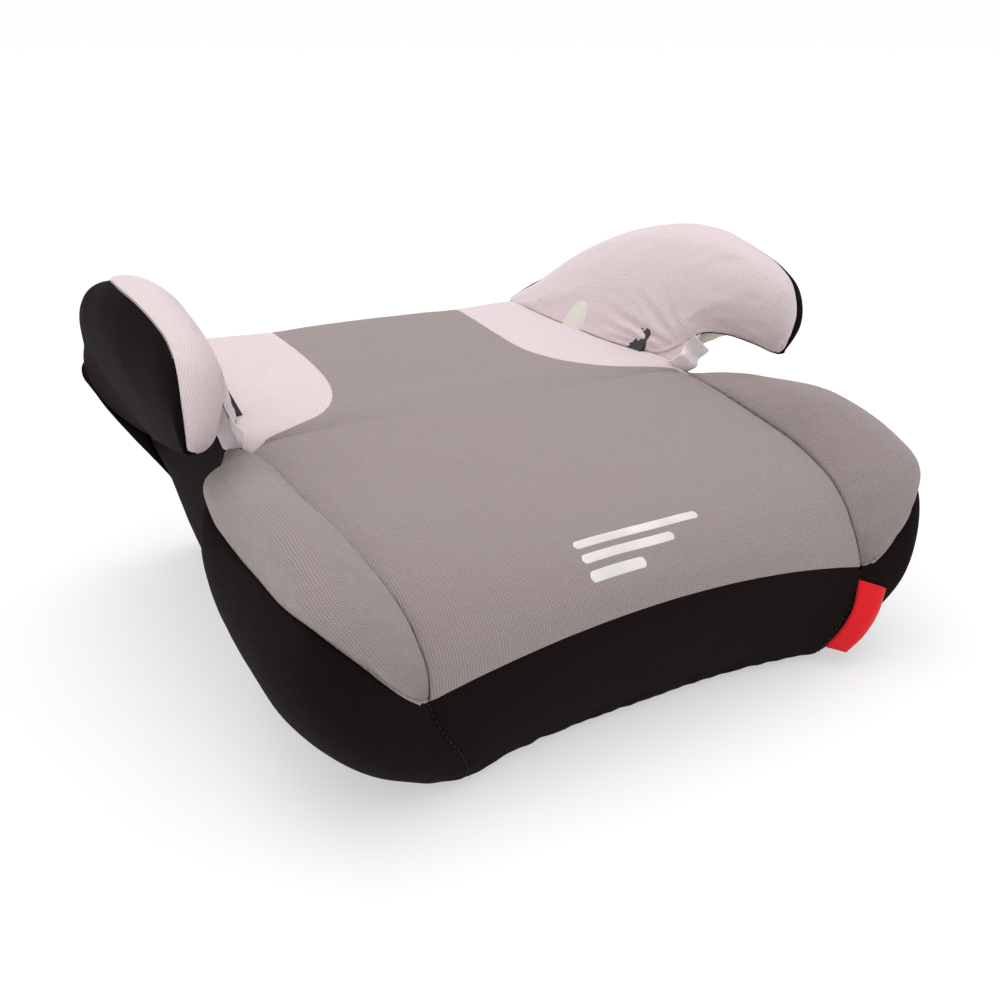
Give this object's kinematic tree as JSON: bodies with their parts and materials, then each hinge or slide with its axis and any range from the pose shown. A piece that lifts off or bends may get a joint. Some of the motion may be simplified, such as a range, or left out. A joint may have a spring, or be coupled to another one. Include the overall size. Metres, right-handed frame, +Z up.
{
  "type": "backless child booster seat",
  "caption": "Backless child booster seat with hook-shaped padded armrests, covered in grey, pale pink-grey and black knit fabric.",
  "frame": {"origin": "on the floor under the middle of the seat's bounding box, on the left-right mirror plane", "axes": "+X is to the seat's own left-right direction, towards the armrest called right; +Y is to the rear; +Z is up"},
  "size_m": [0.434, 0.3972, 0.2204],
  "materials": {
    "grey_knit": "warm grey fine rib knit, foam backed",
    "light_knit": "pale pinkish grey knit, foam backed",
    "black_knit": "warm black brushed knit",
    "moulded_plastic": "fine spark-eroded texture",
    "foot_rubber": "matte moulded rubber",
    "foam": "open cell polyurethane foam",
    "screw_steel": "zinc plated",
    "hem_tape": "black binding tape",
    "elastic_rubber": "braided elastic cord",
    "red_ribbon": "bright red woven satin ribbon",
    "label_satin": "white printed satin, print left out"
  },
  "bodies": {
    "root": {"base_shell": "moulded_plastic", "armrest_core_right": "moulded_plastic", "armrest_core_left": "moulded_plastic", "armrest_screws": "screw_steel", "foot_front_right": "foot_rubber", "foot_front_left": "foot_rubber", "foot_rear_right": "foot_rubber", "foot_rear_left": "foot_rubber", "seat_foam": "foam", "armrest_foam_right": "foam", "bolster_foam_right": "foam", "bolster_panel_right": "grey_knit", "rear_corner_panel_right": "light_knit", "armrest_inner_panel_right": "light_knit", "armrest_outer_panel_right": "black_knit", "armrest_under_panel_right": "black_knit", "armrest_arch_panel_right": "light_knit", "side_skirt_right": "black_knit", "care_label_right": "label_satin", "armrest_foam_left": "foam", "bolster_foam_left": "foam", "bolster_panel_left": "grey_knit", "rear_corner_panel_left": "light_knit", "armrest_inner_panel_left": "light_knit", "armrest_outer_panel_left": "black_knit", "armrest_under_panel_left": "black_knit", "armrest_arch_panel_left": "light_knit", "side_skirt_left": "black_knit", "care_label_left": "label_satin", "centre_panel": "grey_knit", "front_skirt": "black_knit", "rear_skirt": "black_knit", "hem_band": "hem_tape", "hem_elastic": "elastic_rubber", "red_tab": "red_ribbon"}
  },
  "joints": []
}
